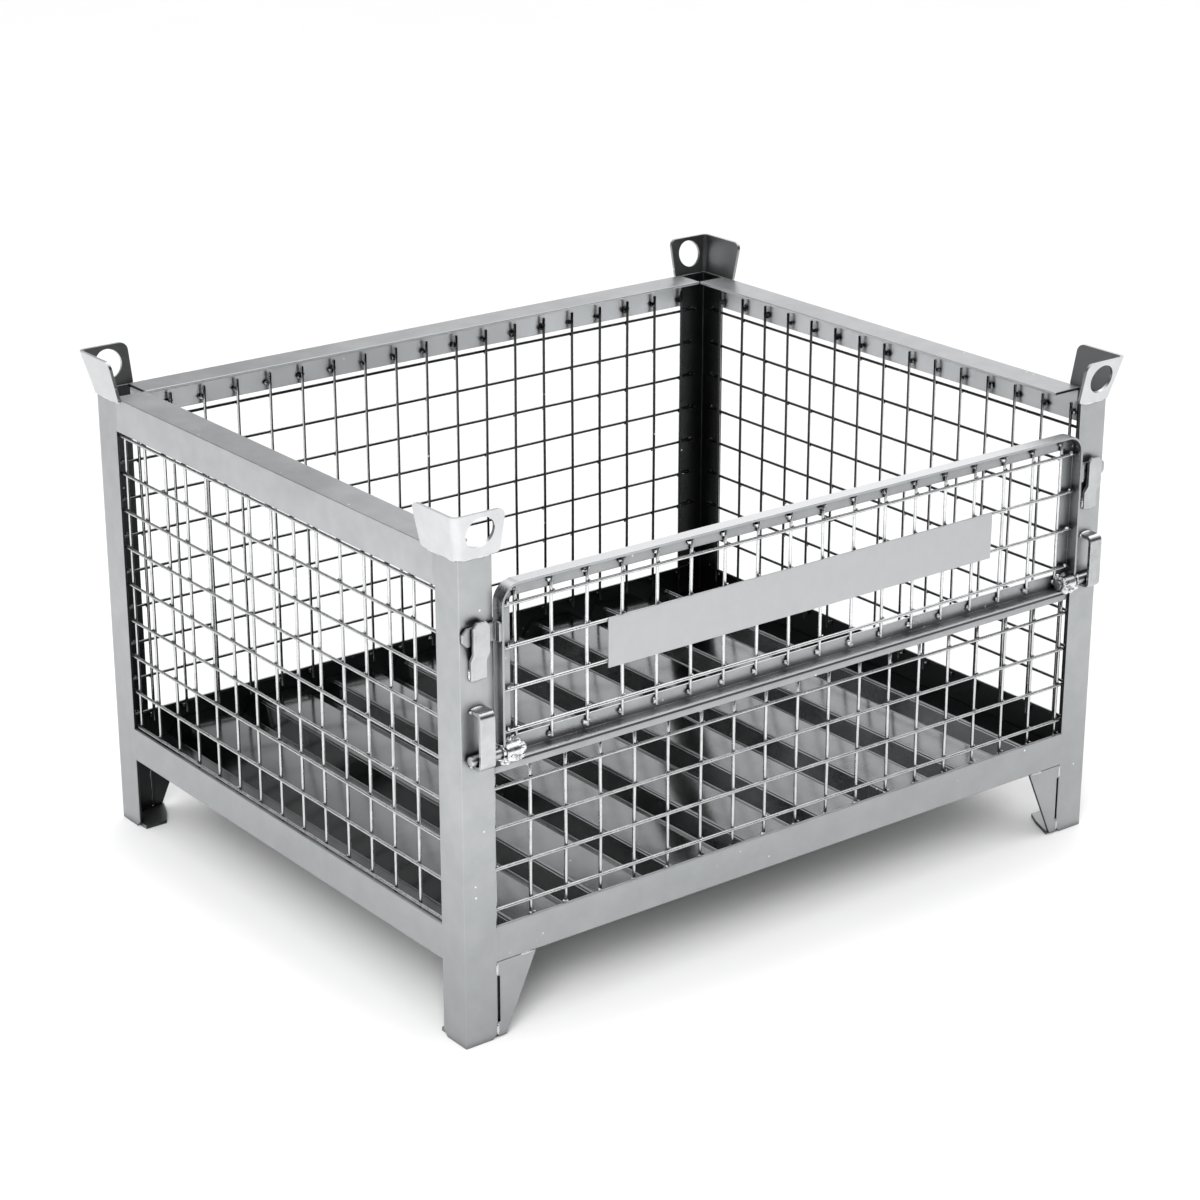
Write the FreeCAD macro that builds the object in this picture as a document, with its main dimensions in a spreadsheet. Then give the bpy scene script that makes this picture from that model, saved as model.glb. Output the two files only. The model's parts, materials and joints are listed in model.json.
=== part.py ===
import FreeCAD, Part
import math
import os
from types import SimpleNamespace

import Sketcher

# Stackable steel mesh container with a drop flap in the front wall.
# Millimetres, +Z up. X runs along the front wall, the front faces -Y.
# The origin lies on the ground under the middle of the four posts.

os.makedirs("parts", exist_ok=True)
doc = FreeCAD.newDocument("mesh_container")
Vector = FreeCAD.Vector

DRIVING = {
    # frame of angle sections
    "frame_length": 1000,
    "frame_depth": 800,
    "post_height": 597,
    "angle_leg": 45,
    "angle_thick": 4,
    "foot_height": 98,
    "foot_chamfer": 7,
    # feet
    "gusset_top": 55,
    "gusset_foot": 12,
    "gusset_gap": 3,
    "slit_wide": 3.5,
    "slit_low": 21,
    "slit_high": 80,
    "foot_plate_thick": 5,
    "foot_plate_long": 56,
    "foot_plate_deep": 51,
    "foot_plate_knee_long": 43,
    "foot_plate_knee_deep": 31,
    "foot_plate_end": 31,
    # floor sheet
    "sheet_thick": 1.5,
    "rib_pitch": 118,
    "rib_top": 70,
    "rib_slope": 15,
    "rib_depth": 21,
    "rib_start": 66,
    "rib_last_top": 9,
    "sheet_gap": 1,
    # wire panels
    "wire_dia": 4,
    "wire_bite": 0.4,
    "mesh_pitch": 50,
    "wire_end_gap": 20,
    "side_wire_base": 145,
    "front_wire_base": 161,
    "wire_foot_lap": 13,
    "wire_head_lap": 25,
    # flat bar under the flap
    "bar_wide": 40,
    "bar_thick": 8,
    "bar_base": 330,
    # flap
    "flap_half": 451,
    "flap_base": 349,
    "flap_height": 208.5,
    "flap_back": 394,
    "flap_thick": 3,
    "flap_flange": 21,
    "flap_rim": 18,
    "flap_corner": 25,
    "flap_wire_base": 380,
    "flap_wire_foot": 357,
    "flap_wire_head": 550,
    "flap_wire_half": 446,
    "sign_long": 600,
    "sign_high": 60,
    "sign_thick": 2,
    "sign_base": 423,
    # tabs and hooks
    "tab_thick": 4,
    "tab_high": 22,
    "tab_base": 493,
    "tab_half": 499,
    "tab_chamfer": 6,
    "hook_centre": 477,
    "hook_wide": 22,
    "hook_thick": 5,
    "hook_base": 452,
    "hook_high": 69,
    "hook_step": 6,
    "hook_bend": 23,
    "hook_bend_rise": 10,
    "hook_chamfer": 5,
    "hook_gap": 1,
    # pins and guides
    "pin_dia": 12,
    "pin_out": 408,
    "pin_height": 360,
    "pin_inner": 421,
    "pin_outer": 494,
    "pin_clearance": 0.05,
    "pin_chamfer": 0.8,
    "saddle_inner": 430.5,
    "saddle_outer": 447.5,
    "saddle_high": 18,
    "guide_wide": 20,
    "guide_thick": 5,
    "guide_out": 20,
    "guide_base": 348,
    "guide_high": 70,
    "guide_bend": 8,
    # stacking corners
    "bracket_thick": 4,
    "bracket_high": 54,
    "bracket_lap": 3,
    "bracket_flare": 12,
    "bracket_front": 53,
    "bracket_side": 64,
    "bracket_bend": 10,
    "bracket_round": 10,
    "bracket_heel": 5,
    "lift_hole_dia": 38,
    "lift_hole_in": 22.5,
    "lift_hole_up": 30,
}

sheet = doc.addObject("Spreadsheet::Sheet", "Sizes")
for row, (alias, number) in enumerate(DRIVING.items(), start=1):
    sheet.set("A%d" % row, alias)
    sheet.set("B%d" % row, str(number))
    sheet.setAlias("B%d" % row, alias)
doc.recompute()


class Size:
    """A number together with the sheet expression that it stands for."""

    def __init__(self, value, text=None):
        self.value = float(value)
        self.text = text if text is not None else "%.6g" % value

    def combine(self, other, sign, result):
        return Size(result, "(%s %s %s)" % (self.text, sign, as_size(other).text))

    def __add__(self, other):
        return self.combine(other, "+", self.value + as_size(other).value)

    def __sub__(self, other):
        return self.combine(other, "-", self.value - as_size(other).value)

    def __mul__(self, other):
        return self.combine(other, "*", self.value * as_size(other).value)

    def __truediv__(self, other):
        return self.combine(other, "/", self.value / as_size(other).value)

    def __rmul__(self, other):
        return as_size(other) * self

    def __radd__(self, other):
        return as_size(other) + self

    def __rsub__(self, other):
        return as_size(other) - self

    def __neg__(self):
        return as_size(-1) * self


def as_size(number):
    return number if isinstance(number, Size) else Size(number)


def slant(across, along):
    """Length of the hypotenuse over two sizes."""
    return Size(
        math.hypot(across.value, along.value),
        "sqrt(%s ^ 2 + %s ^ 2)" % (across.text, along.text),
    )


def slant_angle(across, along):
    """Angle, in degrees, between the hypotenuse and the side called along."""
    return Size(
        math.degrees(math.atan2(across.value, along.value)),
        "atan(%s / %s)" % (across.text, along.text),
    )


S = SimpleNamespace(**{name: Size(value, "Sizes." + name) for name, value in DRIVING.items()})
HALF_X = S.frame_length / 2
HALF_Y = S.frame_depth / 2

nodes = []


def new_body(name, x=0, y=0, z=0, turn=0):
    """A named body whose placement follows the sheet; turn is about +Z in degrees."""
    body = doc.addObject("PartDesign::Body", name)
    body.Label = name
    body.AllowCompound = True
    spot = [as_size(x), as_size(y), as_size(z)]
    body.Placement = FreeCAD.Placement(
        Vector(*[s.value for s in spot]), FreeCAD.Rotation(Vector(0, 0, 1), turn)
    )
    for axis, size in zip("xyz", spot):
        body.setExpression("Placement.Base." + axis, size.text)
    nodes.append(body)
    return body


def new_sketch(body, name, role, offset):
    """An empty sketch on one of the body's own origin planes."""
    plane = next(f for f in body.Origin.OriginFeatures if f.Role == role)
    sketch = body.newObject("Sketcher::SketchObject", name)
    sketch.AttachmentSupport = [(plane, "")]
    sketch.MapMode = "FlatFace"
    sketch.setExpression("AttachmentOffset.Base.z", as_size(offset).text)
    return sketch


def pin_point(sketch, geometry, point, u, v):
    """Fixes one point of a sketch at sizes u, v from the sketch origin."""
    for kind, size in (("DistanceX", u), ("DistanceY", v)):
        number = sketch.addConstraint(
            Sketcher.Constraint(kind, -1, 1, geometry, point, size.value)
        )
        sketch.setExpression("Constraints[%d]" % number, size.text)


def polygon(body, name, role, corners, offset=0):
    """Closed outline through the corners, every corner bound to the sheet."""
    sketch = new_sketch(body, name, role, offset)
    points = [(as_size(u), as_size(v)) for u, v in corners]
    count = len(points)
    spots = [Vector(u.value, v.value, 0) for u, v in points]
    for i in range(count):
        sketch.addGeometry(Part.LineSegment(spots[i], spots[(i + 1) % count]), False)
    for i in range(count):
        sketch.addConstraint(Sketcher.Constraint("Coincident", i, 2, (i + 1) % count, 1))
    for i, (u, v) in enumerate(points):
        pin_point(sketch, i, 1, u, v)
    return sketch


def circle(body, name, role, u, v, diameter, offset=0):
    """Circle with its centre and radius bound to the sheet."""
    sketch = new_sketch(body, name, role, offset)
    u, v, radius = as_size(u), as_size(v), as_size(diameter) / 2
    sketch.addGeometry(
        Part.Circle(Vector(u.value, v.value, 0), Vector(0, 0, 1), radius.value), False
    )
    number = sketch.addConstraint(Sketcher.Constraint("Radius", 0, radius.value))
    sketch.setExpression("Constraints[%d]" % number, radius.text)
    pin_point(sketch, 0, 3, u, v)
    return sketch


def rectangle(body, name, role, u0, v0, u1, v1, offset=0):
    return polygon(body, name, role, [(u0, v0), (u1, v0), (u1, v1), (u0, v1)], offset)


def finish(body, feature, what):
    """Makes the feature the body's result and makes sure that it worked."""
    body.Tip = feature
    doc.recompute()
    if feature.Shape.isNull() or not feature.isValid():
        raise RuntimeError("%s failed in %s" % (what, body.Label))
    return feature


def pad(body, sketch, length, both_ways=False, backwards=False):
    """Extrudes a sketch along its normal, or evenly to both sides of it."""
    feature = body.newObject("PartDesign::Pad", sketch.Name + "_pad")
    feature.Profile = sketch
    feature.Length = as_size(length).value
    feature.setExpression("Length", as_size(length).text)
    feature.SideType = "Symmetric" if both_ways else "One side"
    feature.Reversed = backwards
    return finish(body, feature, "pad")


def pocket(body, sketch, length):
    """Cuts a sketch evenly to both sides of its plane."""
    before = body.Tip.Shape.Volume
    feature = body.newObject("PartDesign::Pocket", sketch.Name + "_pocket")
    feature.Profile = sketch
    feature.Length = as_size(length).value
    feature.setExpression("Length", as_size(length).text)
    feature.SideType = "Symmetric"
    finish(body, feature, "pocket")
    if feature.Shape.Volume >= before:
        raise RuntimeError("pocket removed nothing in " + body.Label)
    return feature


def repeat(body, feature, sketch, axis, pitch, count):
    """Copies a feature along an axis of its sketch."""
    row = body.newObject("PartDesign::LinearPattern", feature.Name + "_row")
    row.Originals = [feature]
    row.Direction = (sketch, [axis])
    row.Length = (pitch * (count - 1)).value
    row.setExpression("Length", (pitch * (count - 1)).text)
    row.Occurrences = count
    return finish(body, row, "pattern")


def edges_at(feature, middles):
    """Names of the edges whose centres of length lie at the given points."""
    found = []
    for number, edge in enumerate(feature.Shape.Edges, start=1):
        centre = edge.CenterOfMass
        if any(centre.distanceToPoint(Vector(*m)) < 0.2 for m in middles):
            found.append("Edge%d" % number)
    return found


def dress(body, kind, middles, size):
    """Rounds (Fillet) or bevels (Chamfer) the edges centred at these points."""
    base = body.Tip
    names = edges_at(base, middles)
    if len(names) != len(middles):
        raise RuntimeError("%d of %d edges found in %s" % (len(names), len(middles), body.Label))
    feature = body.newObject("PartDesign::" + kind, "%s_%s" % (kind.lower(), len(body.Group)))
    feature.Base = (base, names)
    target = "Radius" if kind == "Fillet" else "Size"
    setattr(feature, target, as_size(size).value)
    feature.setExpression(target, as_size(size).text)
    return finish(body, feature, kind)


CORNERS = {
    "front_left": (-1, -1, 0),
    "front_right": (1, -1, 90),
    "back_right": (1, 1, 180),
    "back_left": (-1, 1, 270),
}
SIDES = {"left": -1, "right": 1}
LEG, THICK = S.angle_leg, S.angle_thick


# ---- posts: equal angles, heel outwards, free corners bevelled at the foot ----

def make_post(name, x_sign, y_sign, turn):
    body = new_body("post_" + name, x_sign * HALF_X, y_sign * HALF_Y, 0, turn)
    outline = [(0, 0), (LEG, 0), (LEG, THICK), (THICK, THICK), (THICK, LEG), (0, LEG)]
    pad(body, polygon(body, "section", "XY_Plane", outline), S.post_height)
    tip, mid = LEG.value, THICK.value / 2
    dress(body, "Chamfer", [(tip, mid, 0), (mid, tip, 0)], S.foot_chamfer)


for corner, (sx, sy, angle) in CORNERS.items():
    make_post(corner, sx, sy, angle)


# ---- feet: tapered gusset with a slit beside the post, and a ground plate ----

def make_foot(name, sx, sy):
    gusset = new_body("foot_gusset_" + name, sx * (HALF_X - LEG), sy * HALF_Y, 0)
    outline = [
        (0, S.foot_height),
        (-sx * S.gusset_top, S.foot_height),
        (-sx * S.gusset_foot, S.gusset_gap),
        (0, S.gusset_gap),
        (0, S.slit_low),
        (-sx * S.slit_wide, S.slit_low),
        (-sx * S.slit_wide, S.slit_high),
        (0, S.slit_high),
    ]
    pad(gusset, polygon(gusset, "outline", "XZ_Plane", outline), THICK, backwards=sy < 0)

    plate = new_body("foot_plate_" + name, sx * (HALF_X - THICK), sy * (HALF_Y - THICK), 0)
    outline = [
        (0, 0),
        (-sx * S.foot_plate_long, 0),
        (-sx * S.foot_plate_knee_long, -sy * S.foot_plate_knee_deep),
        (-sx * S.foot_plate_end, -sy * S.foot_plate_deep),
        (0, -sy * S.foot_plate_deep),
    ]
    pad(plate, polygon(plate, "outline", "XY_Plane", outline), S.foot_plate_thick)


for corner, (sx, sy, _) in CORNERS.items():
    make_foot(corner, sx, sy)


# ---- angle rails between the posts ----

BASE_SECTION = [(0, 0), (LEG, 0), (LEG, THICK), (THICK, THICK), (THICK, LEG), (0, LEG)]
TOP_SECTION = [
    (0, 0), (THICK, 0), (THICK, LEG - THICK), (LEG, LEG - THICK), (LEG, LEG), (0, LEG),
]
WALLS = {
    "front": (0, -1, 0, S.frame_length),
    "back": (0, 1, 180, S.frame_length),
    "left": (-1, 0, -90, S.frame_depth),
    "right": (1, 0, 90, S.frame_depth),
}


def make_rail(name, wall, base, section):
    x_sign, y_sign, turn, run = WALLS[wall]
    body = new_body(name + "_" + wall, x_sign * HALF_X, y_sign * HALF_Y, base, turn)
    pad(body, polygon(body, "section", "YZ_Plane", section), run - 2 * LEG, both_ways=True)


for wall in WALLS:
    make_rail("base_rail", wall, S.foot_height, BASE_SECTION)
for wall in ("left", "right", "back"):
    make_rail("top_rail", wall, S.post_height - LEG, TOP_SECTION)

mid_rail = new_body("mid_rail", 0, -(HALF_Y - THICK), S.bar_base)
pad(
    mid_rail,
    rectangle(mid_rail, "section", "YZ_Plane", 0, 0, S.bar_wide, S.bar_thick),
    S.frame_length - 2 * THICK,
    both_ways=True,
)


# ---- floor: one sheet with trapezoidal ribs from front to back ----

RIB_COUNT = 7
floor = new_body("floor_sheet", 0, 0, S.foot_height + THICK)
half_run = HALF_X - THICK - S.sheet_gap
floor_run = S.frame_depth - 2 * THICK - 2 * S.sheet_gap
skin = S.sheet_thick
# how far a bend shifts between the two faces of the sheet
bend_shift = skin * (slant(S.rib_slope, S.rib_depth - skin) - S.rib_slope) / (S.rib_depth - skin)
high, low = S.rib_depth, skin
foot = S.rib_start - half_run
cell = [
    (foot, low),
    (foot + S.rib_slope, high),
    (foot + S.rib_slope + S.rib_top, high),
    (foot + 2 * S.rib_slope + S.rib_top, low),
    (foot + S.rib_pitch, low),
    (foot + S.rib_pitch + bend_shift, 0),
    (foot + 2 * S.rib_slope + S.rib_top - bend_shift, 0),
    (foot + S.rib_slope + S.rib_top - bend_shift, high - skin),
    (foot + S.rib_slope + bend_shift, high - skin),
    (foot + bend_shift, 0),
]
cell_sketch = polygon(floor, "rib", "XZ_Plane", cell)
cell_pad = pad(floor, cell_sketch, floor_run, both_ways=True)
repeat(floor, cell_pad, cell_sketch, "H_Axis", S.rib_pitch, RIB_COUNT)
# both ends lie low, on the flanges of the side rails; the last rib is a narrow one
left_flat = [
    (-half_run, low),
    (foot, low),
    (foot + bend_shift, 0),
    (-half_run, 0),
]
last = foot + S.rib_pitch * RIB_COUNT
fall = last + S.rib_slope + S.rib_last_top
right_end = [
    (last, low),
    (last + S.rib_slope, high),
    (fall, high),
    (fall + S.rib_slope, low),
    (half_run, low),
    (half_run, 0),
    (fall + S.rib_slope - bend_shift, 0),
    (fall - bend_shift, high - skin),
    (last + S.rib_slope + bend_shift, high - skin),
    (last + bend_shift, 0),
]
pad(floor, polygon(floor, "left_flat", "XZ_Plane", left_flat), floor_run, both_ways=True)
pad(floor, polygon(floor, "right_end", "XZ_Plane", right_end), floor_run, both_ways=True)


# ---- wire panels: upright wires pressed a little into the level ones ----

WIRE = S.wire_dia
LEVEL_DEPTH = THICK + WIRE / 2
UPRIGHT_DEPTH = LEVEL_DEPTH + WIRE - S.wire_bite


def wire_row(body, name, upright, at, depth, start, end, count):
    """Parallel wires; at is the first wire's place across the row."""
    if upright:
        sketch = circle(body, name, "XY_Plane", at, depth, WIRE, start)
        axis = "H_Axis"
    else:
        sketch = circle(body, name, "YZ_Plane", depth, at, WIRE, start)
        axis = "V_Axis"
    wire = pad(body, sketch, end - start)
    repeat(body, wire, sketch, axis, S.mesh_pitch, count)


def make_panel(name, wall, columns, rows, row_base, foot, head):
    x_sign, y_sign, turn, run = WALLS[wall]
    body = new_body(name, x_sign * HALF_X, y_sign * HALF_Y, 0, turn)
    reach = run / 2 - S.wire_end_gap
    wire_row(body, "level", False, row_base, LEVEL_DEPTH, -reach, reach, rows)
    first = S.mesh_pitch * (-(columns - 1) / 2)
    wire_row(body, "upright", True, first, UPRIGHT_DEPTH, foot, head, columns)


panel_foot = S.foot_height + LEG - S.wire_foot_lap
panel_head = S.post_height - LEG + S.wire_head_lap
make_panel("mesh_front", "front", 19, 4, S.front_wire_base, panel_foot, S.bar_base)
make_panel("mesh_back", "back", 19, 9, S.side_wire_base, panel_foot, panel_head)
make_panel("mesh_left", "left", 15, 9, S.side_wire_base, panel_foot, panel_head)
make_panel("mesh_right", "right", 15, 9, S.side_wire_base, panel_foot, panel_head)


# ---- stacking corners: flared bent plates with a lifting hole in the front/back wall ----

def lean(sketch, sign):
    """Tips a sketch on an upright plane about its level axis by the angle of flare."""
    tilt = slant_angle(S.bracket_flare, S.bracket_high)
    base = sketch.AttachmentOffset.Base
    sketch.AttachmentOffset = FreeCAD.Placement(
        base, FreeCAD.Rotation(Vector(sign, 0, 0), tilt.value)
    )
    sketch.setExpression("AttachmentOffset.Rotation.Angle", tilt.text)
    return sketch


def make_bracket(name, sx, sy):
    base = S.post_height - S.bracket_lap
    body = new_body("corner_bracket_" + name, sx * HALF_X, sy * HALF_Y, base)
    flare, high = S.bracket_flare, S.bracket_high
    run = slant(flare, high)
    out = S.bracket_thick * run / high
    spare = S.bracket_thick
    spread = spare * flare / run

    def wall(reach, sign):
        corners = [
            (-reach, -spare),
            (out - spread, -spare),
            (out + flare + spread, run + spare),
            (-reach, run + spare),
        ]
        return [(sign * u, v) for u, v in corners]

    front = polygon(body, "front_wall", "XZ_Plane", wall(S.bracket_front, sx), -sy * out)
    pad(body, lean(front, -sy), S.bracket_thick, backwards=sy < 0)
    side = polygon(body, "side_wall", "YZ_Plane", wall(S.bracket_side, sy), sx * out)
    pad(body, lean(side, sx), S.bracket_thick, backwards=sx > 0)
    wide = 2 * S.bracket_side
    over = rectangle(body, "over", "XZ_Plane", -wide, high, wide, high + 3 * spare)
    pocket(body, over, 2 * wide)
    under = rectangle(body, "under", "XZ_Plane", -wide, -3 * spare, wide, 0)
    pocket(body, under, 2 * wide)

    half, middle = high.value / 2, (out + flare / 2).value
    dress(body, "Fillet", [(sx * middle, sy * middle, half)], S.bracket_bend)
    middle = flare.value / 2
    inner_bend = S.bracket_bend - S.bracket_thick
    dress(body, "Fillet", [(sx * middle, sy * middle, half)], inner_bend)
    front_end, side_end = -sx * S.bracket_front.value, -sy * S.bracket_side.value
    lip, heel = (flare + out / 2).value, (out / 2).value
    at_lip = [(front_end, sy * lip, high.value), (sx * lip, side_end, high.value)]
    dress(body, "Fillet", at_lip, S.bracket_round)
    at_heel = [(front_end, sy * heel, 0), (sx * heel, side_end, 0)]
    dress(body, "Fillet", at_heel, S.bracket_heel)
    # the bend is cut back where it laps over the corner of the post
    seat = rectangle(body, "seat", "XY_Plane", 0, 0, -sx * LEG, -sy * LEG)
    pocket(body, seat, 2 * S.bracket_lap)

    up = S.lift_hole_up * run / high
    hole_at = (-sx * S.lift_hole_in, up)
    hole = circle(body, "lift_hole", "XZ_Plane", *hole_at, S.lift_hole_dia, -sy * out)
    pocket(body, lean(hole, -sy), 3 * S.bracket_thick)


for corner, (sx, sy, _) in CORNERS.items():
    make_bracket(corner, sx, sy)


# ---- flap: bent angle strip, bottom angle, wire panel, plain plate ----

OUT = S.flap_half
SKIN = S.flap_thick
RISE = S.flap_height


def arch(inset):
    """Band of the given width that runs up one side, across the top and down."""
    return [
        (-OUT, 0), (-OUT, RISE), (OUT, RISE), (OUT, 0),
        (OUT - inset, 0), (OUT - inset, RISE - inset),
        (inset - OUT, RISE - inset), (inset - OUT, 0),
    ]


pin_drop = S.pin_height - S.flap_base
pin_front = -(S.pin_out - S.flap_back)
bore_dia = S.pin_dia + 2 * S.pin_clearance

flap_frame = new_body("flap_frame", 0, -S.flap_back, S.flap_base)
pad(flap_frame, polygon(flap_frame, "rim", "XZ_Plane", arch(SKIN)), S.flap_rim)
pad(flap_frame, polygon(flap_frame, "flange", "XZ_Plane", arch(S.flap_flange)), SKIN)
out, rise = OUT.value, RISE.value
rim_mid = -S.flap_rim.value / 2
rim_in_mid = -(S.flap_rim.value + SKIN.value) / 2
dress(
    flap_frame, "Fillet", [(s * out, rim_mid, rise) for s in (-1, 1)], S.flap_corner
)
inner = SKIN.value
dress(
    flap_frame,
    "Fillet",
    [(s * (out - inner), rim_in_mid, rise - inner) for s in (-1, 1)],
    S.flap_corner - SKIN,
)
inner = S.flap_flange.value
dress(
    flap_frame,
    "Fillet",
    [(s * (out - inner), -SKIN.value / 2, rise - inner) for s in (-1, 1)],
    S.flap_corner - S.flap_flange,
)
pocket(
    flap_frame,
    circle(flap_frame, "pin_way", "YZ_Plane", pin_front, pin_drop, bore_dia),
    S.frame_length,
)

bottom = new_body("flap_bottom_rail", 0, -S.flap_back, S.flap_base)
level_half, flange_half = OUT - SKIN, OUT - S.flap_flange
level_leg = rectangle(
    bottom, "level_leg", "XY_Plane", -level_half, -S.flap_rim, level_half, -SKIN
)
pad(bottom, level_leg, SKIN)
back_leg = rectangle(bottom, "back_leg", "XZ_Plane", -flange_half, 0, flange_half, S.flap_flange)
pad(bottom, back_leg, SKIN)

flap_mesh = new_body("flap_mesh", 0, -(S.flap_back + SKIN), 0)
upright_y = -WIRE / 2
level_y = upright_y - WIRE + S.wire_bite
flap_columns, flap_rows = 18, 4
wire_row(
    flap_mesh, "level", False, S.flap_wire_base, level_y,
    -S.flap_wire_half, S.flap_wire_half, flap_rows,
)
wire_row(
    flap_mesh, "upright", True, S.mesh_pitch * (-(flap_columns - 1) / 2), upright_y,
    S.flap_wire_foot, S.flap_wire_head, flap_columns,
)

sign_back = S.flap_back + SKIN + 2 * WIRE - S.wire_bite
sign = new_body("sign_plate", 0, -sign_back, S.sign_base)
pad(
    sign,
    rectangle(sign, "outline", "XZ_Plane", -S.sign_long / 2, 0, S.sign_long / 2, S.sign_high),
    S.sign_thick,
)


# ---- flap tabs, frame hooks, pins, saddles and guides, one of each per side ----

def make_tab(name, s):
    body = new_body("flap_tab_" + name, s * OUT, -(HALF_Y + S.hook_gap), S.tab_base)
    tip = S.tab_half - OUT
    blade = [
        (0, 0), (s * tip, 0), (s * tip, S.tab_high), (0, S.tab_high),
    ]
    pad(body, polygon(body, "blade", "XZ_Plane", blade), S.tab_thick)
    lug_out = S.flap_back + S.flap_rim - HALF_Y - S.hook_gap
    lug = [(0, 0), (s * S.tab_thick, 0), (s * S.tab_thick, S.tab_high), (0, S.tab_high)]
    pad(body, polygon(body, "lug", "XZ_Plane", lug), lug_out)
    mid = -S.tab_thick.value / 2
    ends = [(s * tip.value, mid, 0), (s * tip.value, mid, S.tab_high.value)]
    dress(body, "Chamfer", ends, S.tab_chamfer)


def make_hook(name, s):
    body = new_body("hook_" + name, s * S.hook_centre, -HALF_Y, S.hook_base)
    low, bend = S.hook_bend, S.hook_bend + S.hook_bend_rise
    thick, step, tall = S.hook_thick, S.hook_step, S.hook_high
    outline = [
        (0, 0), (0, low), (-step, bend), (-step, tall),
        (-(step + thick), tall), (-(step + thick), bend - 1), (-thick, low - 1), (-thick, 0),
    ]
    pad(body, polygon(body, "side", "YZ_Plane", outline), S.hook_wide, both_ways=True)
    mid, half = -(step + thick / 2).value, S.hook_wide.value / 2
    ends = [(-half, mid, tall.value), (half, mid, tall.value)]
    dress(body, "Chamfer", ends, S.hook_chamfer)


def make_guide(name, s):
    body = new_body("pin_guide_" + name, s * S.hook_centre, -HALF_Y, S.guide_base)
    out, thick, tall = S.guide_out, S.guide_thick, S.guide_high
    outline = [
        (0, 0), (-out, 0), (-out, tall), (0, tall),
        (0, tall - thick), (-(out - thick), tall - thick), (-(out - thick), thick), (0, thick),
    ]
    pad(body, polygon(body, "side", "YZ_Plane", outline), S.guide_wide, both_ways=True)
    outer = [(0, -out.value, 0), (0, -out.value, tall.value)]
    dress(body, "Fillet", outer, S.guide_bend)
    slot = -(out - thick).value
    inner = [(0, slot, thick.value), (0, slot, (tall - thick).value)]
    dress(body, "Fillet", inner, S.guide_bend - thick)


def make_pin(name, s):
    body = new_body("flap_pin_" + name, s * S.pin_inner, -S.pin_out, S.pin_height)
    outline = circle(body, "section", "YZ_Plane", 0, 0, S.pin_dia)
    pad(body, outline, S.pin_outer - S.pin_inner, backwards=s < 0)
    dress(body, "Chamfer", [(s * (S.pin_outer - S.pin_inner).value, 0, 0)], S.pin_chamfer)


def make_saddle(name, s):
    body = new_body("pin_saddle_" + name, s * S.saddle_inner, -S.flap_back, S.flap_base)
    block = rectangle(
        body, "block", "YZ_Plane", -SKIN, SKIN, -S.flap_rim, SKIN + S.saddle_high
    )
    pad(body, block, S.saddle_outer - S.saddle_inner, backwards=s < 0)
    bore = circle(body, "bore", "YZ_Plane", pin_front, pin_drop, bore_dia)
    pocket(body, bore, 2 * S.pin_outer)


for side, sign_x in SIDES.items():
    make_tab(side, sign_x)
    make_hook(side, sign_x)
    make_guide(side, sign_x)
    make_pin(side, sign_x)
    make_saddle(side, sign_x)


# ---- check and write ----

doc.recompute()
for item in doc.Objects:
    if "Invalid" in item.State or "Error" in item.State:
        raise RuntimeError("%s: %s" % (item.Label, item.State))
for body in nodes:
    shape = body.Shape
    if shape.isNull() or not shape.isValid() or not shape.Solids:
        raise RuntimeError("bad shape: " + body.Label)
    shape.exportStep("parts/%s.step" % body.Label)
print("%d nodes written" % len(nodes))
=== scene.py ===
import json
import math
import random

import bmesh
import bpy
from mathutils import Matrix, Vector

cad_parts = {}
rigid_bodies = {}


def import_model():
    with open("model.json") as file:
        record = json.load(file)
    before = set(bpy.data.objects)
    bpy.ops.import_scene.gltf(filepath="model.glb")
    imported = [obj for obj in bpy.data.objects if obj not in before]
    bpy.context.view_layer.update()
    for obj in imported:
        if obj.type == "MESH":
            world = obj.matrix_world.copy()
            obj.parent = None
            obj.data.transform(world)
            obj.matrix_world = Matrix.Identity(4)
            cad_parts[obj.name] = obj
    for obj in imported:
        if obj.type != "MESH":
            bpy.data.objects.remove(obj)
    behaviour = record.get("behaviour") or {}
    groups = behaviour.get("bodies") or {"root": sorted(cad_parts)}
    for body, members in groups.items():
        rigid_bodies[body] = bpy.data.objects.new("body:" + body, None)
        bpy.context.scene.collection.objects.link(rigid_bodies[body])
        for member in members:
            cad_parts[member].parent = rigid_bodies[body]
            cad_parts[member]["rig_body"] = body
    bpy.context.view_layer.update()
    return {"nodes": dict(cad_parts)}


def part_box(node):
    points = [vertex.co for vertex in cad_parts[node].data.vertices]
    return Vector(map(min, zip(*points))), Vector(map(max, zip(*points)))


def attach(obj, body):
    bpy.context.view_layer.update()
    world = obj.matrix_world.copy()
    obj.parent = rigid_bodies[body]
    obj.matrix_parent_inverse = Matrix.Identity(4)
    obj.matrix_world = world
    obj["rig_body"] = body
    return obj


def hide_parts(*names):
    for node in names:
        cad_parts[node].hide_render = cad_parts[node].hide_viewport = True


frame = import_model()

MM = 0.001
ROOT, FLAP = "frame", "flap"
NODES = frame["nodes"]
rng = random.Random(20)


# ---------------------------------------------------------------- shader helpers

def new_material(name):
    material = bpy.data.materials.new(name)
    material.use_nodes = True
    tree = material.node_tree
    tree.nodes.clear()
    output = tree.nodes.new("ShaderNodeOutputMaterial")
    shader = tree.nodes.new("ShaderNodeBsdfPrincipled")
    tree.links.new(shader.outputs["BSDF"], output.inputs["Surface"])
    return material, tree, shader


def position(tree):
    """Object coordinates in metres."""
    return tree.nodes.new("ShaderNodeTexCoord").outputs["Object"]


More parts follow.
